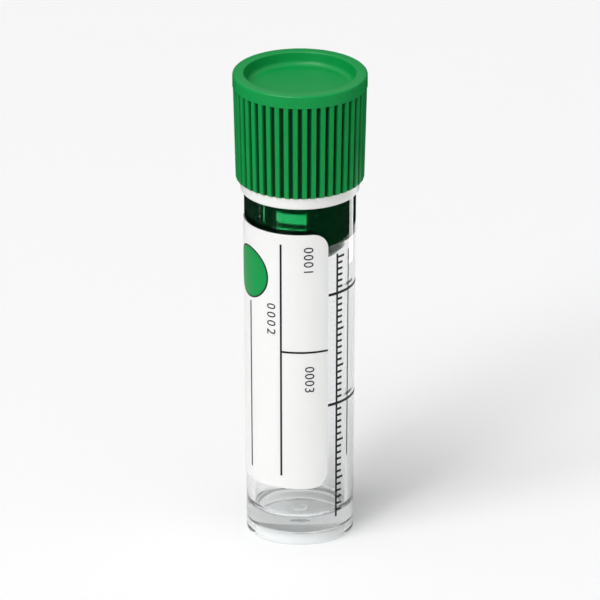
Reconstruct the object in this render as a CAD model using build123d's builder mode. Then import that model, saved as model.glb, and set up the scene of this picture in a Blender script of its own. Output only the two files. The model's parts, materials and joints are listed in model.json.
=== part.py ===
"""Blood collection tube: a clear moulded tube with a paper label, closed by a ribbed cap and its rubber stopper.

Millimetres, +Z up, origin at the middle of the foot the tube stands on. The label faces -Y.
"""

import os
from math import cos, radians, sin, tan

from build123d import *

# ---- Tube: one clear moulding, with a straight foot, a drafted body and a straight neck ----
foot_radius = 6.35  # outside radius of the straight land that drops into a rack
foot_land_height = 7.0
foot_edge_chamfer = 0.35
foot_recess_depth = 1.5  # the floor is carried clear of the bench on a foot ring
floor_thickness = 1.7
floor_corner_chamfer = 1.0  # inside, where the bore meets the floor
body_draft = 0.46  # degrees; the body widens upwards from the foot land to the shoulder
shoulder_height = 43.2
shoulder_step = 0.15  # ledge that carries the neck ring
neck_length = 4.8
foot_wall = 1.0
mouth_wall = 0.95
mouth_lead_in = 0.3  # chamfer that guides the plug into the bore
gate_radius = 0.8  # moulding gate left in the middle of the floor's underside
gate_height = 0.3

# ---- Neck ring: a white collar that the cap's skirt comes down on ----
ring_height = 1.55
ring_wall = 0.7
ring_taper = 0.2  # how much narrower the ring is at its lower edge
ring_edge_chamfer = 0.25

# ---- Cap: green shell with a dished top, a plain band and a grooved skirt ----
cap_height = 13.25
band_radius = 8.0
band_height = 1.6
band_edge_chamfer = 0.25
dish_radius = 6.65
dish_depth = 1.6
dish_draft = 9.0  # degrees, slope of the dish's side
dish_corner_chamfer = 0.5
cap_top_thickness = 1.2
skirt_gap = 0.2  # between the tube's neck and the inside of the skirt
skirt_wall = 0.5  # under the grooves, at the open end
skirt_flare = 1.6  # degrees, the skirt widens upwards
skirt_lead_in = 0.25
skirt_end_chamfer = 0.3
groove_count = 44
groove_depth = 0.42
groove_mouth_width = 0.6
groove_floor_width = 0.36
bead_depth = 0.35  # ridge inside the cap that locks the stopper in; its sides slope at 45 degrees
bead_height = 2.6  # above the tube's mouth

# ---- Stopper: dark rubber, with a head locked in the cap and a plug in the tube ----
plug_length = 12.1
plug_gap = 0.25  # between the plug's core and the bore
seal_gap = 0.04  # between a sealing ring's crest and the bore
seal_count = 2
seal_pitch = 2.3
seal_first_depth = 7.7  # of the upper sealing ring, below the mouth
seal_width = 0.9  # at the ring's root
plug_bevel_length = 0.9
plug_bevel_angle = 40.0  # degrees from the axis
well_radius = 2.5  # blind well in the plug's lower face, which lets it squeeze into the bore
well_depth = 4.5

# ---- Label: self-adhesive paper wrapped part of the way round the body ----
label_thickness = 0.1
label_foot_margin = 0.4  # above the foot land
label_shoulder_margin = 3.3  # below the shoulder
label_left = -108.0  # degrees round the tube from -Y
label_right = 30.0
label_corner_radius = 2.0

# ---- Levels and radii that follow from the sizes above ----
floor_level = foot_recess_depth + floor_thickness
mouth_level = shoulder_height + neck_length
skirt_level = shoulder_height + ring_height
top_level = skirt_level + cap_height
band_level = top_level - band_height
dish_level = top_level - dish_depth
cavity_level = dish_level - cap_top_thickness
bead_level = mouth_level + bead_height
plug_level = mouth_level - plug_length
label_bottom = foot_land_height + label_foot_margin
label_top = shoulder_height - label_shoulder_margin

shoulder_radius = foot_radius + (shoulder_height - foot_land_height) * tan(radians(body_draft))
neck_radius = shoulder_radius - shoulder_step
bore_floor_radius = foot_radius - foot_wall
bore_mouth_radius = neck_radius - mouth_wall
cavity_radius = neck_radius + skirt_gap
groove_floor_radius = cavity_radius + skirt_wall
skirt_radius = groove_floor_radius + groove_depth
plug_radius = bore_mouth_radius - plug_gap
seal_crest_radius = bore_mouth_radius - seal_gap
seal_crest_width = seal_width - 2 * (seal_crest_radius - plug_radius)
# section of the ridge inside the cap, which the stopper's groove fits
bead_outline = [
    (cavity_radius, bead_level - bead_depth),
    (cavity_radius - bead_depth, bead_level),
    (cavity_radius, bead_level + bead_depth),
]


def body_radius(height):
    """Outside radius of the drafted body at a height."""
    return foot_radius + (height - foot_land_height) * tan(radians(body_draft))


def skirt_radius_at(height):
    """Outside radius of the flared skirt at a height."""
    return skirt_radius + (height - skirt_level) * tan(radians(skirt_flare))


def corner(section, across, up):
    """The corner of a section that lies nearest to a place in it."""
    return section.vertices().sort_by_distance((across, up))[0]


# The tube is turned from its own section, walked up the outside and back down the bore.
with BuildPart() as sample_tube:
    with BuildSketch(Plane.XZ) as tube_section:
        with BuildLine():
            Polyline(
                (0, foot_recess_depth),
                (bore_floor_radius, foot_recess_depth),
                (bore_floor_radius, 0),
                (foot_radius, 0),
                (foot_radius, foot_land_height),
                (shoulder_radius, shoulder_height),
                (neck_radius, shoulder_height),
                (neck_radius, mouth_level),
                (bore_mouth_radius, mouth_level),
                (bore_mouth_radius, plug_level),
                (bore_floor_radius, floor_level),
                (0, floor_level),
                close=True,
            )
        make_face()
        chamfer(corner(tube_section, foot_radius, 0), foot_edge_chamfer)
        chamfer(corner(tube_section, bore_mouth_radius, mouth_level), mouth_lead_in)
        chamfer(corner(tube_section, bore_floor_radius, floor_level), floor_corner_chamfer)
    revolve(axis=Axis.Z)
    with Locations((0, 0, foot_recess_depth - gate_height)):
        Cylinder(gate_radius, gate_height, align=(Align.CENTER, Align.CENTER, Align.MIN))
sample_tube.part.label = "sample_tube"

with BuildPart() as neck_ring:
    with BuildSketch(Plane.XZ) as ring_section:
        with BuildLine():
            Polyline(
                (neck_radius, shoulder_height),
                (neck_radius + ring_wall - ring_taper, shoulder_height),
                (neck_radius + ring_wall, skirt_level),
                (neck_radius, skirt_level),
                close=True,
            )
        make_face()
        chamfer(corner(ring_section, neck_radius + ring_wall, shoulder_height), ring_edge_chamfer)
    revolve(axis=Axis.Z)
neck_ring.part.label = "neck_ring"

# One groove of the skirt, cut to an even depth along the flare and closed at the plain band.
with BuildPart() as groove:
    with BuildSketch(Plane.XY.offset(skirt_level)):
        with BuildLine():
            Polyline(
                (groove_floor_radius, -groove_floor_width / 2),
                (groove_floor_radius, groove_floor_width / 2),
                (skirt_radius, groove_mouth_width / 2),
                (skirt_radius + groove_depth, groove_mouth_width / 2),
                (skirt_radius + groove_depth, -groove_mouth_width / 2),
                (skirt_radius, -groove_mouth_width / 2),
                close=True,
            )
        make_face()
    extrude(
        amount=(band_level - skirt_level) / cos(radians(skirt_flare)),
        dir=(sin(radians(skirt_flare)), 0, cos(radians(skirt_flare))),
    )

with BuildPart() as ribbed_cap:
    with BuildSketch(Plane.XZ) as cap_section:
        with BuildLine():
            Polyline(
                (0, skirt_level),
                (skirt_radius - skirt_end_chamfer, skirt_level),
                (skirt_radius_at(skirt_level + skirt_end_chamfer), skirt_level + skirt_end_chamfer),
                (skirt_radius_at(band_level), band_level),
                (band_radius, band_level),
                (band_radius, top_level),
                (0, top_level),
                close=True,
            )
        make_face()
        chamfer(corner(cap_section, band_radius, top_level), band_edge_chamfer)
    revolve(axis=Axis.Z)
    with PolarLocations(0, groove_count):
        add(groove.part, mode=Mode.SUBTRACT)
    # dished top
    with BuildSketch(Plane.XZ) as dish_section:
        with BuildLine():
            Polyline(
                (0, top_level),
                (dish_radius, top_level),
                (dish_radius - dish_depth * tan(radians(dish_draft)), dish_level),
                (0, dish_level),
                close=True,
            )
        make_face()
        chamfer(corner(dish_section, dish_radius, dish_level), dish_corner_chamfer)
    revolve(axis=Axis.Z, mode=Mode.SUBTRACT)
    # cavity with its lead-in, less the bead that locks the stopper
    with BuildSketch(Plane.XZ):
        with BuildLine():
            Polyline(
                (0, skirt_level),
                (cavity_radius + skirt_lead_in, skirt_level),
                (cavity_radius, skirt_level + skirt_lead_in),
                (cavity_radius, cavity_level),
                (0, cavity_level),
                close=True,
            )
        make_face()
        with BuildLine():
            Polyline(*bead_outline, close=True)
        make_face(mode=Mode.SUBTRACT)
    revolve(axis=Axis.Z, mode=Mode.SUBTRACT)
ribbed_cap.part.label = "ribbed_cap"

with BuildPart() as rubber_stopper:
    with BuildSketch(Plane.XZ):
        with BuildLine():
            Polyline(
                (0, plug_level),
                (plug_radius - plug_bevel_length * tan(radians(plug_bevel_angle)), plug_level),
                (plug_radius, plug_level + plug_bevel_length),
                (plug_radius, mouth_level),
                (cavity_radius, mouth_level),
                (cavity_radius, cavity_level),
                (0, cavity_level),
                close=True,
            )
        make_face()
        # sealing rings that stand out of the plug towards the bore, with sides at 45 degrees
        for n in range(seal_count):
            seal_level = mouth_level - seal_first_depth - n * seal_pitch
            with BuildLine():
                Polyline(
                    (plug_radius, seal_level - seal_width / 2),
                    (seal_crest_radius, seal_level - seal_crest_width / 2),
                    (seal_crest_radius, seal_level + seal_crest_width / 2),
                    (plug_radius, seal_level + seal_width / 2),
                    close=True,
                )
            make_face()
        with BuildLine():
            Polyline(*bead_outline, close=True)
        make_face(mode=Mode.SUBTRACT)
    revolve(axis=Axis.Z)
    with Locations((0, 0, plug_level)):
        Cylinder(well_radius, well_depth, align=(Align.CENTER, Align.CENTER, Align.MIN), mode=Mode.SUBTRACT)
rubber_stopper.part.label = "rubber_stopper"

# The label: a block turned through the angle it covers, its corners rounded, kept only where the paper lies.
with BuildPart() as paper_label:
    with BuildSketch(Plane.XZ.rotated((0, 0, label_left - 90))):
        with Locations((bore_mouth_radius, label_bottom)):
            Rectangle(mouth_wall + skirt_wall, label_top - label_bottom, align=(Align.MIN, Align.MIN))
    revolve(axis=Axis.Z, revolution_arc=label_right - label_left)
    corner_edges = paper_label.edges().filter_by(GeomType.LINE).filter_by(Axis.Z, reverse=True)
    fillet(corner_edges, label_corner_radius)
    with BuildSketch(Plane.XZ):
        with BuildLine():
            Polyline(
                (body_radius(label_bottom), label_bottom),
                (body_radius(label_bottom) + label_thickness, label_bottom),
                (body_radius(label_top) + label_thickness, label_top),
                (body_radius(label_top), label_top),
                close=True,
            )
        make_face()
    revolve(axis=Axis.Z, mode=Mode.INTERSECT)
paper_label.part.label = "paper_label"

os.makedirs("parts", exist_ok=True)
for piece in (sample_tube, neck_ring, ribbed_cap, rubber_stopper, paper_label):
    export_step(piece.part, f"parts/{piece.part.label}.step")
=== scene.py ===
"""Looks of a small blood collection tube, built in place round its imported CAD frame.

Metres, +Z up, label at -Y.
"""

import json
import math

import bmesh
import bpy
from bpy.types import Operator, PropertyGroup
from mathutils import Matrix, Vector


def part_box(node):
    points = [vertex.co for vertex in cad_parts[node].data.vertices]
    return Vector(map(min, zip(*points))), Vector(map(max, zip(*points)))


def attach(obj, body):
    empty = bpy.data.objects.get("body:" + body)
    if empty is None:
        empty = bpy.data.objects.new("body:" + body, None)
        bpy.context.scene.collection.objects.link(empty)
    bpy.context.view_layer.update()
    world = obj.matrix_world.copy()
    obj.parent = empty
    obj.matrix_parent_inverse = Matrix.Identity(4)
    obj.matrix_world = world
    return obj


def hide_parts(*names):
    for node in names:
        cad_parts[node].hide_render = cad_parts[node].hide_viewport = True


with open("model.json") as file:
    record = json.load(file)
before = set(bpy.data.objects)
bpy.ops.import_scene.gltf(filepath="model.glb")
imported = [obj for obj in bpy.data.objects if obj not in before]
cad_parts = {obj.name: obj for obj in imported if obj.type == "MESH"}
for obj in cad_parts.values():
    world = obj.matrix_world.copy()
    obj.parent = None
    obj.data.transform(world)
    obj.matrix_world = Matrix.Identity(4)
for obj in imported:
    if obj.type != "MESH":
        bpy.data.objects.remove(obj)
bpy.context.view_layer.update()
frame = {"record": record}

bl_info = {
    "name": "Blood collection tube",
    "version": (1, 0, 0),
    "blender": (4, 5, 0),
    "location": "View3D > Sidebar > Sample Tube",
    "description": "A clear sample tube with a label, a neck ring, a ribbed cap and a stopper",
    "category": "Add Mesh",
}

MM = 0.001
TINY = 0.001 * MM  # two points closer than this are one
SKIN_GAP = 0.004 * MM  # keeps touching surfaces apart
BUILD_STEPS = 192  # columns round a plain turned piece
STOPPER_STEPS = 128  # columns round the stopper
ARC_STEP = math.radians(12)  # longest turn between two points of a rounded edge
SUPPORT = 0.12 * MM  # from the end of a long run to the point that holds its shading
SHARP_ANGLE = math.radians(32)  # an edge that turns by more is shaded sharp
FOOT_LAND = 7.0 * MM

# Radii of the small edges that have no setting of their own
GATE_EDGE = 0.1 * MM
RECESS_CORNER = 0.3 * MM
FOOT_INNER_EDGE = 0.2 * MM
SHOULDER_EDGE = 0.05 * MM
RING_UPPER_EDGE = 0.08 * MM
RIM_EDGE = 0.2 * MM
BAND_LOWER_EDGE = 0.03 * MM
BEAD_CREST = 0.12 * MM
BEAD_GROOVE = 0.1 * MM
WELL_DOME = 1.5 * MM
WELL_EDGE = 0.3 * MM
PLUG_END_EDGE = 0.15 * MM
BEVEL_EDGE = 0.2 * MM
LAND_CORNER = 0.05 * MM
LAND_EDGE = 0.12 * MM
HEAD_EDGE = 0.2 * MM

LEAD_IN = 0.25 * MM  # chamfer inside the skirt's lower edge
GROOVE_WALL_SHARES = (0.0, 0.25, 0.5, 0.75, 1.0)  # columns down a groove's wall

# ---- Places read from the frame ----


def levels(node):
    """Lowest level, highest level and largest radius of a CAD node."""
    low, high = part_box(node)
    return low.z, high.z, max(high.x, high.y, -low.x, -low.y)


FOOT_LEVEL, MOUTH_LEVEL, SHOULDER_RADIUS = levels("sample_tube")
SHOULDER_LEVEL, SKIRT_LEVEL, RING_RADIUS = levels("neck_ring")
_, TOP_LEVEL, BAND_RADIUS = levels("ribbed_cap")
PLUG_LEVEL, CAVITY_LEVEL, CAVITY_RADIUS = levels("rubber_stopper")
LABEL_BOTTOM, LABEL_TOP, _ = levels("paper_label")
MOUNTS = {mount["name"]: mount for mount in frame["record"]["mounts"]}
FOOT_RADIUS = MOUNTS["rack_seat"]["dims"]["r_mm"] * MM


# ---- Sizes and colours that a user would change ----


def length(name, description, millimetres):
    return bpy.props.FloatProperty(
        name=name, description=description, default=millimetres * MM,
        min=0.0, precision=5, unit="LENGTH",
    )


def angle(name, description, degrees):
    return bpy.props.FloatProperty(
        name=name, description=description, default=math.radians(degrees), subtype="ANGLE"
    )


def colour(name, description, default):
    return bpy.props.FloatVectorProperty(
        name=name, description=description, default=default,
        size=4, min=0.0, max=1.0, subtype="COLOR",
    )


def count(name, description, default, low=1):
    return bpy.props.IntProperty(name=name, description=description, default=default, min=low)


class TubeSizes(PropertyGroup):
    foot_land: length("Foot land", "Height of the straight land above the foot", FOOT_LAND / MM)
    foot_edge: length("Foot edge", "Radius of the foot's outer edge", 0.45)
    foot_recess: length("Foot recess", "How far the floor stands clear of the bench", 1.5)
    foot_wall: length("Foot wall", "Wall of the tube at its foot", 1.0)
    floor: length("Floor", "Thickness of the floor", 1.7)
    floor_corner: length("Floor corner", "Radius inside, where the bore meets the floor", 1.0)
    shoulder_step: length("Shoulder step", "Ledge that carries the neck ring", 0.15)
    mouth_wall: length("Mouth wall", "Wall of the tube at its mouth", 0.95)
    mouth_edge: length("Mouth edge", "Radius of the mouth's edges", 0.25)
    gate_radius: length("Gate radius", "Radius of the moulding gate under the floor", 0.8)
    gate_height: length("Gate height", "Height of the moulding gate", 0.3)
    plastic: colour("Clear plastic", "Tint of the clear plastic", (0.985, 0.99, 0.99, 1.0))


class RingSizes(PropertyGroup):
    taper: length("Taper", "How much narrower the ring is at its lower edge", 0.2)
    edge: length("Edge", "Radius of the lower outer edge", 0.35)
    plastic: colour("White plastic", "Colour of the neck ring", (0.88, 0.88, 0.86, 1.0))


class CapSizes(PropertyGroup):
    band: length("Band", "Height of the plain band above the ribs", 1.6)
    band_edge: length("Band edge", "Radius of the band's upper edge", 0.3)
    dish_radius: length("Dish radius", "Radius of the dish at the rim", 6.65)
    dish_depth: length("Dish depth", "Depth of the dished top", 1.6)
    dish_slope: angle("Dish slope", "Slope of the dish's side", 9.0)
    dish_corner: length("Dish corner", "Radius where the dish's side meets its floor", 0.7)
    skirt_wall: length("Skirt wall", "Wall of the skirt under the grooves", 0.5)
    skirt_flare: angle("Skirt flare", "How much the skirt widens upwards", 1.6)
    skirt_edge: length("Skirt edge", "Radius of the skirt's lower edge", 0.3)
    groove_count: count("Grooves", "Number of grooves round the skirt", 44, 3)
    groove_depth: length("Groove depth", "Depth of a groove", 0.42)
    groove_mouth: length("Groove mouth", "Width of a groove at the skirt's surface", 0.6)
    groove_floor: length("Groove floor", "Width of a groove at its floor", 0.3)
    bead_depth: length("Bead depth", "Height of the ridge that locks the stopper in", 0.35)
    bead_height: length("Bead height", "Level of that ridge above the tube's mouth", 2.6)
    plastic: colour("Green plastic", "Colour of the cap", (0.0, 0.300, 0.060, 1.0))
    # Painted shade: the groove floors get this dark colour in place of the shade that falls into
    # them
    shade: colour("Groove shade", "Colour of the plastic in the grooves", (0.0, 0.035, 0.008, 1.0))


class StopperSizes(PropertyGroup):
    plug_gap: length("Plug gap", "Gap between the plug's core and the bore", 0.25)
    squeeze: length("Squeeze", "How far the rubber is pressed into the bore's wall", 0.01)
    land: length("Land", "Length of the plug that fills the bore", 10.45)
    bevel: length("Bevel", "Length of the bevel at the plug's end", 0.9)
    bevel_slope: angle("Bevel slope", "Slope of that bevel from the axis", 40.0)
    well_radius: length("Well radius", "Radius of the well under the plug", 2.5)
    well_depth: length("Well depth", "Depth of the well under the plug", 4.5)
    rubber: colour("Rubber", "Colour of the stopper", (0.001, 0.006, 0.003, 1.0))


class LabelSizes(PropertyGroup):
    left: angle("Left edge", "Angle of the label's left edge round the tube", -108.0)
    right: angle("Right edge", "Angle of the label's right edge round the tube", 30.0)
    corner: length("Corner", "Radius of the label's corners", 2.0)
    paper_thickness: length("Paper", "Thickness of the paper", 0.1)
    rule_width: length("Rule width", "Width of a printed rule", 0.24)
    rule_angle: angle("Middle rule", "Angle of the long upright rule", -20.0)
    side_rule_angle: angle("Side rule", "Angle of the short upright rule", -61.0)
    cross_rule: length("Cross rule", "Level of the level rule", 24.9)
    dot_angle: angle("Dot angle", "Angle of the colour dot's centre", -63.0)
    dot_level: length("Dot level", "Level of the colour dot's centre", 34.0)
    dot_radius: length("Dot radius", "Radius of the colour dot", 3.05)
    dot_border: length("Dot border", "Width of the dot's dark border", 0.2)
    number_height: length("Number height", "Height of the field numbers", 1.15)
    paper: colour("Paper", "Colour of the paper", (0.87, 0.87, 0.86, 1.0))
    ink: colour("Ink", "Colour of the print", (0.012, 0.012, 0.014, 1.0))


class ScaleSizes(PropertyGroup):
    fill_volume: bpy.props.FloatProperty(
        name="Fill volume", description="Volume from one fill line to the next",
        default=1.33e-6, precision=9, unit="VOLUME",
    )
    fill_steps: count("Fill steps", "Ticks from one fill line to the next", 18)
    tick_count: count("Ticks", "Number of ticks, each for the same volume", 42)
    long_every: count("Long tick every", "Ticks from one longer tick to the next", 6, 2)
    spine_angle: angle("Spine angle", "Angle of the scale's upright line", 42.0)
    tick_length: length("Tick", "Length of a tick", 0.85)
    long_length: length("Long tick", "Length of a longer tick", 1.15)
    line_width: length("Line width", "Width of the scale's lines", 0.28)
    fill_width: length("Fill line width", "Width of a fill line", 0.34)
    fill_start: angle("Fill line start", "Angle where a fill line starts", 31.0)
    fill_end: angle("Fill line end", "Angle where a fill line ends", 89.0)
    border_angle: angle("Border angle", "Angle of the thin line beside the ticks", 60.0)
    border_width: length("Border width", "Width of that line", 0.2)


class StageSizes(PropertyGroup):
    elevation: angle("Elevation", "Camera's height above level", 22.0)
    lens: bpy.props.FloatProperty(
        name="Lens", description="Focal length in millimetres", default=1000.0
    )
    fill: bpy.props.FloatProperty(
        name="Fill", description="Share of the frame's height that the object fills", default=0.84
    )
    floor: colour("Floor", "Colour of the floor", (0.96, 0.96, 0.96, 1.0))


SETTINGS = {
    "tube": TubeSizes,
    "ring": RingSizes,
    "cap": CapSizes,
    "stopper": StopperSizes,
    "label": LabelSizes,
    "scale": ScaleSizes,
    "stage": StageSizes,
}


def settings(name):
    return getattr(bpy.context.scene, f"sample_tube_{name}")


def bore():
    """Radius of the bore at its floor, its radius at the mouth and the level of its floor."""
    tube = settings("tube")
    mouth = SHOULDER_RADIUS - tube.shoulder_step - tube.mouth_wall
    return FOOT_RADIUS - tube.foot_wall, mouth, FOOT_LEVEL + tube.foot_recess + tube.floor


# ---- Turned pieces ----


def rounded_outline(corners):
    """Points of a closed outline from corners (radius, level, fillet), each fillet as an arc."""
    points = []
    for i, (across, up, fillet) in enumerate(corners):
        here = Vector((across, up))
        if fillet == 0:
            points.append(here)
            continue
        before = (Vector(corners[i - 1][:2]) - here).normalized()
        after = (Vector(corners[(i + 1) % len(corners)][:2]) - here).normalized()
        half = before.angle(after) / 2
        centre = here + (before + after).normalized() * (fillet / math.sin(half))
        start = here + before * (fillet / math.tan(half)) - centre
        end = here + after * (fillet / math.tan(half)) - centre
        sweep = math.pi - 2 * half
        steps = max(2, math.ceil(sweep / ARC_STEP))
        for k in range(steps + 1):
            t = k / steps
            turned = start * math.sin((1 - t) * sweep) + end * math.sin(t * sweep)
            points.append(centre + turned / math.sin(sweep))
    return points


def supported(outline):
    """Adds a point near each end of a long run, so that a rounded edge doesn't bend its shading."""
    points = []
    for here, after in zip(outline, outline[1:] + outline[:1]):
        here, after = Vector(here[:2]), Vector(after[:2])
        run = after - here
        points.append(here)
        if run.length > 4 * SUPPORT and max(here.x, after.x) > TINY:
            points += [here + run.normalized() * SUPPORT, after - run.normalized() * SUPPORT]
    return points


def even_angles(steps=BUILD_STEPS):
    return [2 * math.pi * i / steps for i in range(steps)]


def place(turn, radius, level):
    """Point at an angle round the tube from -Y, a radius and a level."""
    return Vector((radius * math.sin(turn), -radius * math.cos(turn), level))


def lathe(name, outline, angles):
    """A closed turned mesh; an outline point on the axis becomes a single pole."""
    builder = bmesh.new()
    rings = []
    for across, up in supported(outline):
        turns = angles if across > TINY else [0.0]
        rings.append([builder.verts.new(place(turn, across, up)) for turn in turns])
    columns = len(angles)
    for lower, upper in zip(rings, rings[1:] + rings[:1]):
        if len(lower) == len(upper) == 1:
            continue
        for i in range(columns):
            j = (i + 1) % columns
            near = [lower[0]] if len(lower) == 1 else [lower[i], lower[j]]
            far = [upper[0]] if len(upper) == 1 else [upper[j], upper[i]]
            builder.faces.new(near + far)
    return solid_from(builder, name)


def added(name, data):
    """A new object in the scene."""
    made = bpy.data.objects.new(name, data)
    bpy.context.scene.collection.objects.link(made)
    return made


def solid_from(builder, name):
    """Makes the object of a closed bmesh, with normals outwards and crisp edges kept crisp."""
    bmesh.ops.recalc_face_normals(builder, faces=builder.faces[:])
    mesh = bpy.data.meshes.new(name)
    builder.to_mesh(mesh)
    builder.free()
    smooth(mesh)
    return added(name, mesh)


def smooth(mesh):
    mesh.polygons.foreach_set("use_smooth", [True] * len(mesh.polygons))
    mesh.set_sharp_from_angle(angle=SHARP_ANGLE)


def dress(piece, material, body, slot, *nodes):
    """Gives a piece its material, its body and the CAD nodes that it stands for. The slot is not
    used.
    """
    if material is not None:
        piece.data.materials.append(material)
    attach(piece, body)
    if nodes:
        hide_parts(*nodes)


# ---- Film that follows the tube's body: the label and all print ----

BODY_SLOPE = (SHOULDER_RADIUS - FOOT_RADIUS) / (SHOULDER_LEVEL - FOOT_LAND)
WRAP_RADIUS = (FOOT_RADIUS + SHOULDER_RADIUS) / 2
WRAP_STEP = math.radians(1.5)  # turn between two columns of the film
WELD = TINY / 10
INK_THICKNESS = 0.02 * MM
INK_SUNK = INK_THICKNESS / 4  # how far the ink goes into the paper
DOT_THICKNESS = INK_THICKNESS * 1.3  # the dot lies over its border
FIGURE_SHARE = 0.72  # height of a figure at font size 1
FIGURE_STEPS = 5
CUT_FACING = 0.5  # a face of the label that faces out by less is its cut edge


def body_radius(level):
    """Outside radius of the tube's drafted body."""
    return FOOT_RADIUS + max(0.0, level - settings("tube").foot_land) * BODY_SLOPE


def flat_from(points):
    """A flat bmesh with one face, in length round the body (x) and level (y)."""
    flat = bmesh.new()
    flat.faces.new([flat.verts.new((x, y, 0.0)) for x, y in points])
    return flat


def flat_bar(turn_low, turn_high, low, high):
    """A flat rectangle between two angles and two levels."""
    left, right = turn_low * WRAP_RADIUS, turn_high * WRAP_RADIUS
    return flat_from([(left, low), (right, low), (right, high), (left, high)])


def flat_upright(turn, low, high, width):
    half = width / 2 / WRAP_RADIUS
    return flat_bar(turn - half, turn + half, low, high)


def flat_disc(turn, level, radius, steps=96):
    centre = turn * WRAP_RADIUS
    return flat_from([
        (centre + radius * math.cos(a), level + radius * math.sin(a)) for a in even_angles(steps)
    ])


def evaluated_mesh(piece):
    """The plain mesh of an object with its modifiers, or of a text."""
    bpy.context.view_layer.update()
    graph = bpy.context.evaluated_depsgraph_get()
    return bpy.data.meshes.new_from_object(piece.evaluated_get(graph), depsgraph=graph)


def flat_text(words, turn, level, height, spacing):
    """Flat figures centred on a place, which read downwards."""
    curve = bpy.data.curves.new("figures", "FONT")
    curve.body = words
    curve.size = height / FIGURE_SHARE
    curve.space_character = spacing
    curve.align_x = "CENTER"
    curve.align_y = "CENTER"
    curve.resolution_u = FIGURE_STEPS
    text = added("figures", curve)
    mesh = evaluated_mesh(text)
    flat = bmesh.new()
    flat.from_mesh(mesh)
    bpy.data.objects.remove(text)
    bpy.data.curves.remove(curve)
    bpy.data.meshes.remove(mesh)
    bmesh.ops.remove_doubles(flat, verts=flat.verts[:], dist=WELD)
    for vert in flat.verts:
        along, up, _ = vert.co
        vert.co = (turn * WRAP_RADIUS + up, level - along, 0.0)
    return flat


def wrapped(name, flat, lift, thickness):
    """Bends a flat bmesh round the body as a closed film that starts at lift above it."""
    left = min(v.co.x for v in flat.verts)
    right = max(v.co.x for v in flat.verts)
    step = WRAP_STEP * WRAP_RADIUS
    for k in range(math.ceil(left / step), math.floor(right / step) + 1):
        everything = flat.verts[:] + flat.edges[:] + flat.faces[:]
        bmesh.ops.bisect_plane(
            flat, geom=everything, dist=WELD, plane_co=(k * step, 0, 0), plane_no=(1, 0, 0)
        )
    layers = []
    film = bmesh.new()
    flat.verts.index_update()
    for rise in (lift, lift + thickness):
        layers.append([
            film.verts.new(place(v.co.x / WRAP_RADIUS, body_radius(v.co.y) + rise, v.co.y))
            for v in flat.verts
        ])
    under, over = layers
    for face in flat.faces:
        corners = [v.index for v in face.verts]
        film.faces.new([over[i] for i in corners])
        film.faces.new([under[i] for i in reversed(corners)])
    for edge in flat.edges:
        if edge.is_boundary:
            a, b = (v.index for v in edge.verts)
            film.faces.new([under[a], under[b], over[b], over[a]])
    flat.free()
    return solid_from(film, name)


# ---- Materials ----


class Nodes:
    """A node tree under construction: adds nodes, sets their inputs and links them."""

    def __init__(self, tree):
        self.tree = tree

    def add(self, kind, inputs=None, **attributes):
        node = self.tree.nodes.new(kind)
        for key, value in attributes.items():
            setattr(node, key, value)
        for key, value in (inputs or {}).items():
            self.feed(node.inputs[key], value)
        return node

    def feed(self, socket, value):
        """Sets a socket to a plain value, or links it to an output or to a node's first output."""
        if isinstance(value, bpy.types.Node):
            value = value.outputs[0]
        if isinstance(value, bpy.types.NodeSocket):
            self.tree.links.new(value, socket)
        else:
            socket.default_value = value

    def math(self, operation, *values):
        return self.add("ShaderNodeMath", dict(enumerate(values)), operation=operation)

    def plus(self, first, second):
        return self.math("ADD", first, second)

    def minus(self, first, second):
        return self.math("SUBTRACT", first, second)

    def times(self, first, second):
        return self.math("MULTIPLY", first, second)

    def over(self, first, second):
        return self.math("DIVIDE", first, second)


def surface(name, base, roughness, **inputs):
    """A new Principled material, its nodes, its shader and its Object coordinates."""
    material = bpy.data.materials.new(name)
    material.use_nodes = True
    nodes = Nodes(material.node_tree)
    shader = material.node_tree.nodes["Principled BSDF"]
    for key, value in {"Base Color": base, "Roughness": roughness, **inputs}.items():
        shader.inputs[key.replace("_", " ")].default_value = value
    coordinates = nodes.add("ShaderNodeTexCoord").outputs["Object"]
    return material, nodes, shader, coordinates


def noise(nodes, coordinates, size, detail=2.0):
    """Noise whose patches are about size across, from 0 to 1."""
    inputs = {"Vector": coordinates, "Scale": 1 / size, "Detail": detail}
    return nodes.add("ShaderNodeTexNoise", inputs).outputs["Fac"]


def between(nodes, value, low, high):
    """Maps a value from 0 to 1 into a range."""
    inputs = {"Value": value, "To Min": low, "To Max": high}
    return nodes.add("ShaderNodeMapRange", inputs).outputs["Result"]


def blended(nodes, factor, first, second):
    """Colour between two colours."""
    mix = nodes.add("ShaderNodeMix", data_type="RGBA")
    nodes.feed(mix.inputs["Factor"], factor)
    nodes.feed(mix.inputs["A"], first)
    nodes.feed(mix.inputs["B"], second)
    return mix.outputs["Result"]


def darker(base, share):
    """A colour times a share; a share above 1 makes it lighter."""
    return (base[0] * share, base[1] * share, base[2] * share, 1.0)


def mottle(nodes, shader, pattern, base, dark, light):
    """Varies a shader's colour with a pattern, between two shares of its base colour."""
    colours = blended(nodes, pattern, darker(base, dark), darker(base, light))
    nodes.feed(shader.inputs["Base Color"], colours)


def gloss(nodes, shader, pattern, low, high):
    """Varies a shader's roughness with a pattern."""
    nodes.feed(shader.inputs["Roughness"], between(nodes, pattern, low, high))


def bump(nodes, shader, height, distance, strength):
    inputs = {"Height": height, "Distance": distance, "Strength": strength}
    nodes.feed(shader.inputs["Normal"], nodes.add("ShaderNodeBump", inputs).outputs["Normal"])


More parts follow.
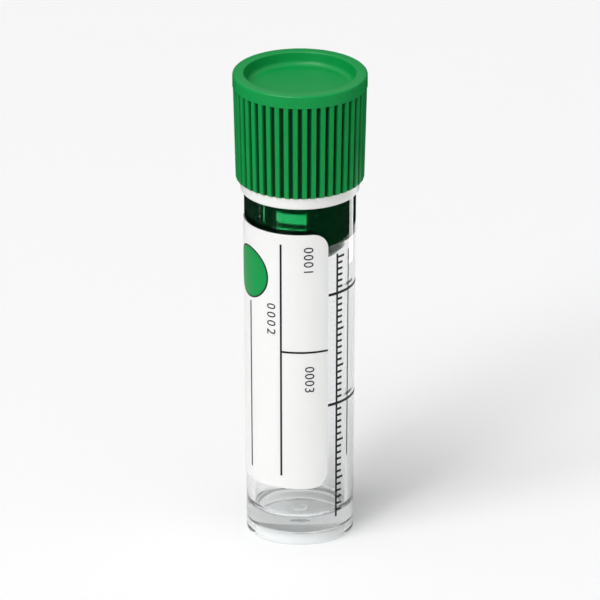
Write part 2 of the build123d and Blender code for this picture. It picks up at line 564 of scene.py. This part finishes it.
def clear_plastic(base):
    """Glossy clear polystyrene with faint flow waves; lamps pass through it."""
    material, nodes, shader, where = surface(
        "clear_plastic", base, 0.02, IOR=1.45, Transmission_Weight=1.0
    )
    flow = noise(nodes, where, 6 * MM, 1.0)
    gloss(nodes, shader, flow, 0.0, 0.05)
    bump(nodes, shader, flow, 0.01 * MM, 0.25)
    lamp_pass = nodes.add("ShaderNodeBsdfTransparent", {"Color": (0.84, 0.855, 0.855, 1.0)})
    shadow_ray = nodes.add("ShaderNodeLightPath").outputs["Is Shadow Ray"]
    mix = nodes.add("ShaderNodeMixShader")
    nodes.feed(mix.inputs[0], shadow_ray)
    nodes.feed(mix.inputs[1], shader)
    nodes.feed(mix.inputs[2], lamp_pass)
    output = nodes.tree.nodes["Material Output"]
    nodes.feed(output.inputs["Surface"], mix)
    tint = {"Color": (0.58, 0.6, 0.6, 1.0), "Density": 110.0}
    depth = nodes.add("ShaderNodeVolumeAbsorption", tint)
    nodes.feed(output.inputs["Volume"], depth)
    return material


def green_plastic(base, shade):
    """Satin coloured polyethylene with painted shade down in the grooves, and a fine moulded grain.
    """
    material, nodes, shader, where = surface("green_plastic", base, 0.38, Specular_IOR_Level=0.3)
    cloud = noise(nodes, where, 2.5 * MM)
    mottled = blended(nodes, cloud, darker(base, 0.93), darker(base, 1.05))
    # The groove mask blends the base colour into the painted groove shade
    groove = nodes.add("ShaderNodeAttribute", attribute_name="groove").outputs["Fac"]
    nodes.feed(shader.inputs["Base Color"], blended(nodes, groove, mottled, shade))
    gloss(nodes, shader, cloud, 0.32, 0.44)
    bump(nodes, shader, noise(nodes, where, 0.12 * MM), 0.006 * MM, 0.5)
    return material


def white_plastic(base):
    """Milky polyethylene with a soft sheen."""
    material, nodes, shader, where = surface(
        "white_plastic", base, 0.35,
        Subsurface_Weight=0.15, Subsurface_Radius=(1.0, 0.95, 0.9), Subsurface_Scale=0.4 * MM,
    )
    cloud = noise(nodes, where, 2 * MM)
    mottle(nodes, shader, cloud, base, 0.97, 1.0)
    gloss(nodes, shader, cloud, 0.3, 0.42)
    bump(nodes, shader, noise(nodes, where, 0.15 * MM), 0.004 * MM, 0.4)
    return material


def stopper_rubber(base):
    """Nearly black green rubber, smooth and siliconed, with a green gloss."""
    material, nodes, shader, where = surface(
        "stopper_rubber", base, 0.1, Specular_IOR_Level=0.2, Specular_Tint=(0.02, 1.0, 0.25, 1.0)
    )
    cloud = noise(nodes, where, 0.8 * MM, 4.0)
    mottle(nodes, shader, cloud, base, 0.8, 1.3)
    gloss(nodes, shader, cloud, 0.02, 0.06)
    bump(nodes, shader, noise(nodes, where, 0.3 * MM), 0.002 * MM, 0.3)
    return material


def label_paper(base):
    """Coated label paper with a faint fibre cloud."""
    material, nodes, shader, where = surface(
        "label_paper", base, 0.55, Specular_IOR_Level=0.35,
        Subsurface_Weight=0.5, Subsurface_Radius=(1.0, 1.0, 1.0), Subsurface_Scale=0.15 * MM,
    )
    fibres = noise(nodes, where, 0.35 * MM, 5.0)
    mottle(nodes, shader, fibres, base, 0.965, 1.0)
    gloss(nodes, shader, fibres, 0.48, 0.62)
    bump(nodes, shader, fibres, 0.008 * MM, 0.5)
    return material


def cut_edge(base):
    """The label's cut edge, painted darker than the paper: glue showing, and painted shade along
    the edge.
    """
    material, nodes, shader, where = surface("label_cut_edge", darker(base, 0.45), 0.8)
    fibres = noise(nodes, where, 0.1 * MM, 3.0)
    mottle(nodes, shader, fibres, base, 0.35, 0.55)
    return material


def printing_ink(name, base):
    """Screen-printed ink, slightly uneven in depth and gloss."""
    material, nodes, shader, where = surface(name, base, 0.45, Specular_IOR_Level=0.15)
    cover = noise(nodes, where, 0.25 * MM, 4.0)
    mottle(nodes, shader, cover, base, 0.85, 1.12)
    gloss(nodes, shader, cover, 0.38, 0.55)
    bump(nodes, shader, cover, 0.004 * MM, 0.4)
    return material


def black_ink():
    """The one black ink of the label and the scale."""
    ink = tuple(settings("label").ink)
    return bpy.data.materials.get("black_ink") or printing_ink("black_ink", ink)


# ---- Geometry Nodes ----


def new_tree(name, counts, sizes):
    """A geometry node group with inputs for counts, sizes and a material; returns it and them."""
    tree = bpy.data.node_groups.new(name, "GeometryNodeTree")
    tree.is_modifier = True
    tree.interface.new_socket("Geometry", in_out="OUTPUT", socket_type="NodeSocketGeometry")
    kinds = {"Geometry": "Geometry"} | dict.fromkeys(counts, "Int")
    kinds |= dict.fromkeys(sizes, "Float") | {"Material": "Material"}
    for label, kind in kinds.items():
        tree.interface.new_socket(label, in_out="INPUT", socket_type=f"NodeSocket{kind}")
    nodes = Nodes(tree)
    return nodes, nodes.add("NodeGroupInput").outputs


def finish_tree(nodes, geometry, material):
    """Ends a tree in Realize Instances and Set Material."""
    real = nodes.add("GeometryNodeRealizeInstances", {"Geometry": geometry})
    painted = nodes.add("GeometryNodeSetMaterial", {"Geometry": real, "Material": material})
    nodes.add("NodeGroupOutput", {"Geometry": painted})


def apply_tree(piece, nodes, values):
    """Runs a tree on a piece with these input values, and keeps the result as a plain mesh."""
    modifier = piece.modifiers.new("rule", "NODES")
    modifier.node_group = nodes.tree
    for socket in nodes.tree.interface.items_tree:
        if socket.item_type == "SOCKET" and socket.in_out == "INPUT" and socket.name in values:
            modifier[socket.identifier] = values[socket.name]
    made = evaluated_mesh(piece)
    piece.modifiers.remove(modifier)
    piece.data = made
    smooth(made)


def groove_tree():
    """Cuts even grooves into a flared skirt by drawing its points in to the groove's section."""
    nodes, given = new_tree("skirt_grooves", ("Count",), (
        "Depth", "Mouth Width", "Floor Width", "Skirt Level", "Skirt Radius", "Flare",
    ))
    here = nodes.add("GeometryNodeInputPosition")
    x, y, z = nodes.add("ShaderNodeSeparateXYZ", {0: here}).outputs
    radius = nodes.math("SQRT", nodes.plus(nodes.times(x, x), nodes.times(y, y)))
    turn = nodes.math("ARCTAN2", x, nodes.times(y, -1.0))
    half_pitch = nodes.over(math.pi, given["Count"])
    phase = nodes.math("WRAP", turn, half_pitch, nodes.times(half_pitch, -1.0))
    above = nodes.minus(z, given["Skirt Level"])
    skirt = nodes.plus(given["Skirt Radius"], nodes.times(above, given["Flare"]))
    off_centre = nodes.times(nodes.math("ABSOLUTE", phase), skirt)
    section = nodes.add("ShaderNodeMapRange", {
        "Value": off_centre,
        "From Min": nodes.over(given["Floor Width"], 2.0),
        "From Max": nodes.over(given["Mouth Width"], 2.0),
        "To Min": 1.0,
        "To Max": 0.0,
    }, interpolation_type="SMOOTHSTEP").outputs["Result"]
    on_skirt = nodes.add("GeometryNodeInputNamedAttribute", {"Name": "skirt"}, data_type="FLOAT")
    groove = nodes.times(section, on_skirt)
    wanted = nodes.minus(skirt, nodes.times(groove, given["Depth"]))
    drawn_in = nodes.math("MINIMUM", radius, wanted)
    shrink = nodes.over(drawn_in, nodes.math("MAXIMUM", radius, TINY))
    drawn = {0: nodes.times(x, shrink), 1: nodes.times(y, shrink), 2: z}
    moved = nodes.add("ShaderNodeCombineXYZ", drawn)
    # Keeps the groove's section as the mask for the painted shade in the grooves
    stored = nodes.add("GeometryNodeStoreNamedAttribute", {
        "Geometry": given["Geometry"], "Name": "groove", "Value": groove,
    }, data_type="FLOAT", domain="POINT")
    placed = nodes.add("GeometryNodeSetPosition", {
        "Geometry": stored,
        "Selection": nodes.math("GREATER_THAN", on_skirt, 0.5),
        "Position": moved,
    })
    finish_tree(nodes, placed, given["Material"])
    return nodes


ARC_POINTS = 24  # along a bar that runs round the body


def curved_bar(nodes, given, start, sweep, width):
    """A closed bar of ink that runs round the body, made at the body's middle radius."""
    arc = nodes.add("GeometryNodeCurveArc", {
        "Resolution": ARC_POINTS,
        "Radius": given["Arc Radius"],
        "Start Angle": nodes.minus(start, math.pi / 2),
        "Sweep Angle": sweep,
    })
    section = nodes.add("GeometryNodeCurvePrimitiveQuadrilateral", {
        "Width": given["Ink Thickness"], "Height": width,
    })
    inputs = {"Curve": arc, "Profile Curve": section, "Fill Caps": True}
    return nodes.add("GeometryNodeCurveToMesh", inputs)


def scale_tree():
    """Lays ticks up the body so that each stands for the same volume in the tapered bore."""
    nodes, given = new_tree("volume_scale", ("Count", "Long Every", "Fill Every"), (
        "Step Volume", "Floor Level", "Bore Radius", "Bore Slope",
        "Foot Radius", "Foot Land", "Body Slope", "Arc Radius",
        "Start Angle", "Fill Start", "Fill End", "Tick Length", "Long Length",
        "Line Width", "Fill Width", "Ink Thickness",
    ))
    tick = nodes.plus(nodes.add("GeometryNodeInputIndex"), 1.0)
    volume = nodes.times(tick, given["Step Volume"])
    floor_area = nodes.times(nodes.math("POWER", given["Bore Radius"], 2.0), math.pi)
    first_guess = nodes.over(volume, floor_area)
    half_widening = nodes.times(nodes.over(first_guess, 2.0), given["Bore Slope"])
    middle_radius = nodes.plus(given["Bore Radius"], half_widening)
    middle_area = nodes.times(nodes.math("POWER", middle_radius, 2.0), math.pi)
    level = nodes.plus(given["Floor Level"], nodes.over(volume, middle_area))
    above = nodes.math("MAXIMUM", nodes.minus(level, given["Foot Land"]), 0.0)
    radius = nodes.plus(given["Foot Radius"], nodes.times(above, given["Body Slope"]))
    widen = nodes.over(radius, given["Arc Radius"])
    points = nodes.add("GeometryNodePoints", {
        "Count": given["Count"],
        "Position": nodes.add("ShaderNodeCombineXYZ", {2: level}),
    })
    scale = nodes.add("ShaderNodeCombineXYZ", {0: widen, 1: widen, 2: 1.0})

    def every(step):
        return nodes.math("LESS_THAN", nodes.math("MODULO", tick, step), 0.5)

    def sweep(length_name):
        return nodes.over(given[length_name], given["Arc Radius"])

    long_tick = every(given["Long Every"])
    short_tick = nodes.minus(1.0, long_tick)
    start, line = given["Start Angle"], given["Line Width"]
    fill_start, fill_line = given["Fill Start"], given["Fill Width"]
    fill_sweep = nodes.minus(given["Fill End"], fill_start)
    rows = [
        (short_tick, curved_bar(nodes, given, start, sweep("Tick Length"), line)),
        (long_tick, curved_bar(nodes, given, start, sweep("Long Length"), line)),
        (every(given["Fill Every"]), curved_bar(nodes, given, fill_start, fill_sweep, fill_line)),
    ]
    joined = nodes.add("GeometryNodeJoinGeometry")
    for chosen, bar in rows:
        row = nodes.add("GeometryNodeInstanceOnPoints", {
            "Points": points, "Selection": chosen, "Instance": bar, "Scale": scale,
        })
        nodes.tree.links.new(row.outputs[0], joined.inputs[0])
    finish_tree(nodes, joined, given["Material"])
    return nodes


# ---- Operators: one for each piece or group of print, and one for the stage ----


class BuildTube(Operator):
    """Turn the clear tube with its foot ring, drafted body and straight neck"""

    bl_idname = "sample_tube.build_tube"
    bl_label = "Clear tube"

    def execute(self, context):
        size = settings("tube")
        inner_foot, bore_mouth, floor_level = bore()
        neck = SHOULDER_RADIUS - size.shoulder_step
        underside = FOOT_LEVEL + size.foot_recess
        outline = rounded_outline([
            (0, underside - size.gate_height, 0),
            (size.gate_radius, underside - size.gate_height, GATE_EDGE),
            (size.gate_radius, underside, 0),
            (inner_foot, underside, RECESS_CORNER),
            (inner_foot, FOOT_LEVEL, FOOT_INNER_EDGE),
            (FOOT_RADIUS, FOOT_LEVEL, size.foot_edge),
            (FOOT_RADIUS, FOOT_LEVEL + size.foot_land, 0),
            (SHOULDER_RADIUS, SHOULDER_LEVEL, SHOULDER_EDGE),
            (neck, SHOULDER_LEVEL, 0),
            (neck, MOUTH_LEVEL, size.mouth_edge),
            (bore_mouth, MOUTH_LEVEL, size.mouth_edge),
            (bore_mouth, PLUG_LEVEL, 0),
            (inner_foot, floor_level, size.floor_corner),
            (0, floor_level, 0),
        ])
        tube = lathe("clear_tube", outline, even_angles())
        dress(tube, clear_plastic(tuple(size.plastic)), "tube", "clear_plastic", "sample_tube")
        return {"FINISHED"}


class BuildRing(Operator):
    """Turn the white ring that the cap's skirt comes down on"""

    bl_idname = "sample_tube.build_ring"
    bl_label = "Neck ring"

    def execute(self, context):
        size = settings("ring")
        inside = SHOULDER_RADIUS - settings("tube").shoulder_step + SKIN_GAP
        outline = rounded_outline([
            (inside, SHOULDER_LEVEL, 0),
            (RING_RADIUS - size.taper, SHOULDER_LEVEL, size.edge),
            (RING_RADIUS, SKIRT_LEVEL - SKIN_GAP, RING_UPPER_EDGE),
            (inside, SKIRT_LEVEL - SKIN_GAP, 0),
        ])
        ring = lathe("white_neck_ring", outline, even_angles())
        dress(ring, white_plastic(tuple(size.plastic)), "tube", "white_plastic", "neck_ring")
        return {"FINISHED"}


class BuildCap(Operator):
    """Turn the cap's shell and cut the grooves of its skirt by their rule"""

    bl_idname = "sample_tube.build_cap"
    bl_label = "Ribbed cap"

    def execute(self, context):
        size = settings("cap")
        band_level = TOP_LEVEL - size.band
        dish_level = TOP_LEVEL - size.dish_depth
        dish_floor = size.dish_radius - size.dish_depth * math.tan(size.dish_slope)
        root = CAVITY_RADIUS + size.skirt_wall
        skirt = root + size.groove_depth
        flare = math.tan(size.skirt_flare)
        skirt_top = skirt + (band_level - SKIRT_LEVEL) * flare
        bead_level = MOUTH_LEVEL + size.bead_height
        outline = rounded_outline([
            (0, dish_level, 0),
            (dish_floor, dish_level, size.dish_corner),
            (size.dish_radius, TOP_LEVEL, RIM_EDGE),
            (BAND_RADIUS, TOP_LEVEL, size.band_edge),
            (BAND_RADIUS, band_level, BAND_LOWER_EDGE),
            (skirt_top, band_level, 0),
            (skirt, SKIRT_LEVEL, size.skirt_edge),
            (CAVITY_RADIUS + LEAD_IN, SKIRT_LEVEL, 0),
            (CAVITY_RADIUS, SKIRT_LEVEL + LEAD_IN, 0),
            (CAVITY_RADIUS, bead_level - size.bead_depth, 0),
            (CAVITY_RADIUS - size.bead_depth, bead_level, BEAD_CREST),
            (CAVITY_RADIUS, bead_level + size.bead_depth, 0),
            (CAVITY_RADIUS, CAVITY_LEVEL, 0),
            (0, CAVITY_LEVEL, 0),
        ])
        cap = lathe("green_ribbed_cap", outline, self.groove_angles(size, skirt))
        marks = cap.data.attributes.new("skirt", "FLOAT", "POINT")
        for vert in cap.data.vertices:
            radius = math.hypot(vert.co.x, vert.co.y)
            surface_radius = skirt + (vert.co.z - SKIRT_LEVEL) * flare + TINY
            on_skirt = vert.co.z < band_level + TINY and root < radius < surface_radius
            marks.data[vert.index].value = float(on_skirt)
        apply_tree(cap, groove_tree(), {
            "Count": size.groove_count,
            "Depth": size.groove_depth,
            "Mouth Width": size.groove_mouth,
            "Floor Width": size.groove_floor,
            "Skirt Level": SKIRT_LEVEL,
            "Skirt Radius": skirt,
            "Flare": flare,
            "Material": green_plastic(tuple(size.plastic), tuple(size.shade)),
        })
        dress(cap, None, "closure", "green_plastic", "ribbed_cap")
        return {"FINISHED"}

    def groove_angles(self, size, radius):
        """Columns on each groove's floor, along its walls and on the rib between grooves."""
        half_pitch = math.pi / size.groove_count
        floor_edge = size.groove_floor / 2 / radius
        mouth_edge = size.groove_mouth / 2 / radius
        wall = [floor_edge + (mouth_edge - floor_edge) * share for share in GROOVE_WALL_SHARES]
        side = wall + [(mouth_edge + half_pitch) / 2]
        offsets = [-half_pitch] + [-turn for turn in reversed(side)] + [0.0] + side
        pitches = [2 * half_pitch * n for n in range(size.groove_count)]
        return [pitch + offset for pitch in pitches for offset in offsets]


class BuildStopper(Operator):
    """Turn the rubber stopper with its head, sealing land and well"""

    bl_idname = "sample_tube.build_stopper"
    bl_label = "Rubber stopper"

    def execute(self, context):
        size = settings("stopper")
        cap = settings("cap")
        _, bore_mouth, _ = bore()
        core = bore_mouth - size.plug_gap
        crest = bore_mouth + size.squeeze
        head = CAVITY_RADIUS - SKIN_GAP
        bead_level = MOUTH_LEVEL + cap.bead_height
        outline = rounded_outline([
            (0, PLUG_LEVEL + size.well_depth, 0),
            (size.well_radius, PLUG_LEVEL + size.well_depth, WELL_DOME),
            (size.well_radius, PLUG_LEVEL, WELL_EDGE),
            (core - size.bevel * math.tan(size.bevel_slope), PLUG_LEVEL, PLUG_END_EDGE),
            (core, PLUG_LEVEL + size.bevel, BEVEL_EDGE),
            (core, MOUTH_LEVEL - size.land, LAND_CORNER),
            (crest, MOUTH_LEVEL - size.land + (crest - core), LAND_EDGE),
            (crest, MOUTH_LEVEL + SKIN_GAP, 0),
            (head, MOUTH_LEVEL + SKIN_GAP, HEAD_EDGE),
            (head, bead_level - cap.bead_depth, 0),
            (head - cap.bead_depth, bead_level, BEAD_GROOVE),
            (head, bead_level + cap.bead_depth, 0),
            (head, CAVITY_LEVEL - SKIN_GAP, HEAD_EDGE),
            (0, CAVITY_LEVEL - SKIN_GAP, 0),
        ])
        stopper = lathe("dark_rubber_stopper", outline, even_angles(STOPPER_STEPS))
        rubber = stopper_rubber(tuple(size.rubber))
        dress(stopper, rubber, "closure", "stopper_rubber", "rubber_stopper")
        return {"FINISHED"}


class BuildLabel(Operator):
    """Wrap the paper label round the body"""

    bl_idname = "sample_tube.build_label"
    bl_label = "Paper label"

    def execute(self, context):
        size = settings("label")
        left, right = size.left * WRAP_RADIUS, size.right * WRAP_RADIUS
        outline = rounded_outline([
            (left, LABEL_BOTTOM, size.corner),
            (right, LABEL_BOTTOM, size.corner),
            (right, LABEL_TOP, size.corner),
            (left, LABEL_TOP, size.corner),
        ])
        label = wrapped("paper_label_skin", flat_from(outline), SKIN_GAP, size.paper_thickness)
        dress(label, label_paper(tuple(size.paper)), "tube", "label_paper", "paper_label")
        # The cut edge takes the darker material: glue showing and painted shade along the edge
        label.data.materials.append(cut_edge(tuple(size.paper)))
        for face in label.data.polygons:
            outwards = Vector((face.center.x, face.center.y, 0.0)).normalized()
            if abs(face.normal.dot(outwards)) < CUT_FACING:
                face.material_index = 1
        return {"FINISHED"}


MIDDLE_RULE_ENDS = (9.0 * MM, 38.6 * MM)
SIDE_RULE_ENDS = (9.1 * MM, 30.3 * MM)
# Field number, angle in degrees, level in millimetres, spacing of its figures
FIELDS = (("0001", 8.2, 36.6, 1.15), ("0002", -31.5, 28.9, 1.35), ("0003", 9.5, 21.4, 1.1))


class PrintLabel(Operator):
    """Lay the colour dot, the rules and the field numbers on the label"""

    bl_idname = "sample_tube.print_label"
    bl_label = "Label print"

    def execute(self, context):
        size = settings("label")
        black = black_ink()
        green = printing_ink("green_ink", tuple(settings("cap").plastic))
        paper_top = SKIN_GAP + size.paper_thickness
        start = paper_top - INK_SUNK
        half_rule = size.rule_width / 2
        border_radius = size.dot_radius + size.dot_border
        pieces = {
            "label_dot_border": flat_disc(size.dot_angle, size.dot_level, border_radius),
            "label_middle_rule": flat_upright(size.rule_angle, *MIDDLE_RULE_ENDS, size.rule_width),
            "label_side_rule": flat_upright(size.side_rule_angle, *SIDE_RULE_ENDS, size.rule_width),
            "label_cross_rule": flat_bar(
                size.rule_angle, size.right,
                size.cross_rule - half_rule, size.cross_rule + half_rule,
            ),
        }
        for words, degrees, level, spacing in FIELDS:
            pieces[f"label_number_{words}"] = flat_text(
                words, math.radians(degrees), level * MM, size.number_height, spacing
            )
        for name, flat in pieces.items():
            dress(wrapped(name, flat, start, INK_THICKNESS), black, "tube", "label_paper")
        dot = flat_disc(size.dot_angle, size.dot_level, size.dot_radius)
        dress(wrapped("label_colour_dot", dot, start, DOT_THICKNESS), green, "tube", "label_paper")
        return {"FINISHED"}


SCALE_TOP = PLUG_LEVEL + 1.0 * MM
BORDER_BOTTOM = 10.5 * MM


class PrintScale(Operator):
    """Print the volume scale on the clear wall beside the label"""

    bl_idname = "sample_tube.print_scale"
    bl_label = "Volume scale"

    def execute(self, context):
        size = settings("scale")
        tube = settings("tube")
        ink = black_ink()
        bore_floor, bore_mouth, floor_level = bore()
        ticks = added("scale_ticks", bpy.data.meshes.new("scale_ticks"))
        apply_tree(ticks, scale_tree(), {
            "Count": size.tick_count,
            "Long Every": size.long_every,
            "Fill Every": size.fill_steps,
            "Step Volume": size.fill_volume / size.fill_steps,
            "Floor Level": floor_level,
            "Bore Radius": bore_floor,
            "Bore Slope": (bore_mouth - bore_floor) / (PLUG_LEVEL - floor_level),
            "Foot Radius": FOOT_RADIUS + SKIN_GAP + INK_THICKNESS / 2,
            "Foot Land": tube.foot_land,
            "Body Slope": BODY_SLOPE,
            "Arc Radius": WRAP_RADIUS,
            "Start Angle": size.spine_angle,
            "Fill Start": size.fill_start,
            "Fill End": size.fill_end,
            "Tick Length": size.tick_length,
            "Long Length": size.long_length,
            "Line Width": size.line_width,
            "Fill Width": size.fill_width,
            "Ink Thickness": INK_THICKNESS,
            "Material": ink,
        })
        dress(ticks, None, "tube", "label_paper")
        lines = {
            "scale_spine": flat_upright(size.spine_angle, floor_level, SCALE_TOP, size.line_width),
            "scale_border": flat_upright(
                size.border_angle, BORDER_BOTTOM, SCALE_TOP, size.border_width
            ),
        }
        for name, flat in lines.items():
            dress(wrapped(name, flat, SKIN_GAP, INK_THICKNESS), ink, "tube", "label_paper")
        return {"FINISHED"}


# Name, strength, rotation and spread in degrees
SUNS = (("key_sun", 1.8, (38, 0, -38), 40), ("fill_sun", 0.12, (50, 0, 55), 60))
# Name, place, width, height, power
SOFTBOX = ("window_softbox", (-0.16, -0.26, 0.24), 0.06, 0.16, 0.2)
# Name, distance in mm, first and last angle in degrees, lower and upper edge in mm, light, and
# whether it is seen through the clear wall instead of in gloss
CARDS = (
    ("grey_band", 30, (-180, 180), (54, 74), 0.12, False),
    ("dark_band", 30, (-180, 180), (32.5, 54), 0.0, False),
    ("dark_strip", 30, (132, 473), (28, 32.5), 0.0, False),
    ("light_strip", 30, (113, 132), (24, 32.5), 4.0, False),
    ("window_strip", 20, (-48, 13), (35.5, 36.75), 30.0, True),
    ("lower_window_strip", 20, (-48, 13), (34.5, 34.85), 30.0, True),
    ("edge_window_strip", 20, (-80, -77), (34.8, 37.0), 25.0, True),
)
CARD_STEPS = 60
MIDDLE = Vector((0, 0, (FOOT_LEVEL + TOP_LEVEL) / 2))
CLIP_START = 0.01
FLOOR_HALF = 2.0
FLOOR_DROP = 0.02 * MM  # keeps the floor clear of the foot
# How the floor's own glow grows with its distance from the object
FLOOR_FADE = {"From Min": 0.2, "From Max": 1.0, "To Min": 0.05, "To Max": 0.16}
WORLD_ON_SURFACES = 0.4
WORLD_BEHIND_WALL = 0.6  # on surfaces that the world lights through the clear wall


def seen_rays(nodes, path):
    """1 for rays that show what they meet: straight, in gloss or through glass; else 0."""
    seen = nodes.math("MAXIMUM", path["Is Camera Ray"], path["Is Transmission Ray"])
    return nodes.math("MAXIMUM", seen, path["Is Glossy Ray"])


class BuildStage(Operator):
    """Set the floor, the cards, the lamps, the world and the camera"""

    bl_idname = "sample_tube.build_stage"
    bl_label = "Stage"

    def execute(self, context):
        size = settings("stage")
        self.floor(tuple(size.floor))
        self.world()
        for row in SUNS:
            self.sun(*row)
        self.softbox(*SOFTBOX)
        for row in CARDS:
            self.card(*row)
        self.camera(size)
        context.scene.view_settings.view_transform = "Standard"
        return {"FINISHED"}

    def floor(self, base):
        floor = added("floor", bpy.data.meshes.new("floor"))
        corners = [(-1, -1), (1, -1), (1, 1), (-1, 1)]
        floor.data.from_pydata(
            [(x * FLOOR_HALF, y * FLOOR_HALF, 0) for x, y in corners], [], [(0, 1, 2, 3)]
        )
        floor.location.z = -FLOOR_DROP
        material, nodes, shader, where = surface("floor_paper", base, 0.9, Specular_IOR_Level=0.0)
        seen = seen_rays(nodes, nodes.add("ShaderNodeLightPath").outputs)
        reach = nodes.add("ShaderNodeVectorMath", {0: where}, operation="LENGTH").outputs["Value"]
        glow = nodes.add("ShaderNodeMapRange", {"Value": reach, **FLOOR_FADE}).outputs["Result"]
        shader.inputs["Emission Color"].default_value = (1, 1, 1, 1)
        nodes.feed(shader.inputs["Emission Strength"], nodes.times(seen, glow))
        floor.data.materials.append(material)

    def card(self, name, reach, turns, edges, light, through):
        """An arc of card round the object, seen in gloss only or through the clear wall only."""
        first, last = turns
        steps = CARD_STEPS
        angles = [math.radians(first + (last - first) * i / steps) for i in range(steps + 1)]
        card = added(name, bpy.data.meshes.new(name))
        card.data.from_pydata(
            [place(turn, reach * MM, level * MM) for level in edges for turn in angles], [],
            [(i, i + 1, steps + 2 + i, steps + 1 + i) for i in range(steps)],
        )
        material = bpy.data.materials.new(name)
        material.use_nodes = True
        nodes = Nodes(material.node_tree)
        glow = nodes.add("ShaderNodeEmission", {"Strength": light})
        nodes.feed(nodes.tree.nodes["Material Output"].inputs["Surface"], glow)
        card.data.materials.append(material)
        card.visible_camera = card.visible_diffuse = card.visible_shadow = False
        card.visible_volume_scatter = False
        card.visible_transmission = through
        card.visible_glossy = not through

    def world(self):
        """White to the eye, to gloss and through glass, and plain levels of light for the rest."""
        world = bpy.data.worlds.new("studio")
        bpy.context.scene.world = world
        world.use_nodes = True
        nodes = Nodes(world.node_tree)
        path = nodes.add("ShaderNodeLightPath").outputs
        lighting = nodes.math("MINIMUM", path["Diffuse Depth"], 1.0)
        loss = nodes.times(lighting, 1.0 - WORLD_BEHIND_WALL)
        share = nodes.minus(1.0 - WORLD_ON_SURFACES, loss)
        extra = nodes.times(seen_rays(nodes, path), share)
        strength = nodes.plus(WORLD_ON_SURFACES, extra)
        background = world.node_tree.nodes["Background"]
        background.inputs["Color"].default_value = (1, 1, 1, 1)
        nodes.feed(background.inputs["Strength"], strength)

    def sun(self, name, strength, degrees, spread):
        lamp = bpy.data.lights.new(name, "SUN")
        lamp.energy = strength
        lamp.angle = math.radians(spread)
        added(name, lamp).rotation_euler = [math.radians(turn) for turn in degrees]

    def softbox(self, name, where, width, height, power):
        lamp = bpy.data.lights.new(name, "AREA")
        lamp.shape = "RECTANGLE"
        lamp.size = width
        lamp.size_y = height
        lamp.energy = power
        holder = added(name, lamp)
        holder.location = where
        holder.rotation_euler = (MIDDLE - Vector(where)).to_track_quat("-Z", "Y").to_euler()

    def camera(self, size):
        camera = bpy.data.cameras.new("camera")
        camera.lens = size.lens
        camera.clip_start = CLIP_START
        lift = Vector((0, -math.cos(size.elevation), math.sin(size.elevation)))
        height = TOP_LEVEL * math.cos(size.elevation) + BAND_RADIUS * 2 * math.sin(size.elevation)
        distance = height / size.fill / camera.sensor_width * size.lens
        holder = added("camera", camera)
        holder.location = MIDDLE + lift * distance
        holder.rotation_euler = (-lift).to_track_quat("-Z", "Y").to_euler()
        bpy.context.scene.camera = holder


OPERATORS = (
    BuildTube, BuildRing, BuildCap, BuildStopper, BuildLabel, PrintLabel, PrintScale, BuildStage,
)


class SampleTubePanel(bpy.types.Panel):
    """Buttons for the operators in the order they run, then every setting"""

    bl_idname = "VIEW3D_PT_sample_tube"
    bl_label = "Sample Tube"
    bl_space_type = "VIEW_3D"
    bl_region_type = "UI"
    bl_category = "Sample Tube"

    def draw(self, context):
        for operator in OPERATORS:
            self.layout.operator(operator.bl_idname)
        for name, group in SETTINGS.items():
            box = self.layout.box()
            box.label(text=name.title())
            for key in group.__annotations__:
                box.prop(settings(name), key)


CLASSES = (*SETTINGS.values(), *OPERATORS, SampleTubePanel)


def register():
    for item in CLASSES:
        bpy.utils.register_class(item)
    for name, group in SETTINGS.items():
        setattr(bpy.types.Scene, f"sample_tube_{name}", bpy.props.PointerProperty(type=group))


def unregister():
    for name in SETTINGS:
        delattr(bpy.types.Scene, f"sample_tube_{name}")
    for item in reversed(CLASSES):
        bpy.utils.unregister_class(item)


def main():
    register()
    for operator in OPERATORS:
        group, action = operator.bl_idname.split(".")
        getattr(getattr(bpy.ops, group), action)()


if __name__ == "__main__":
    main()
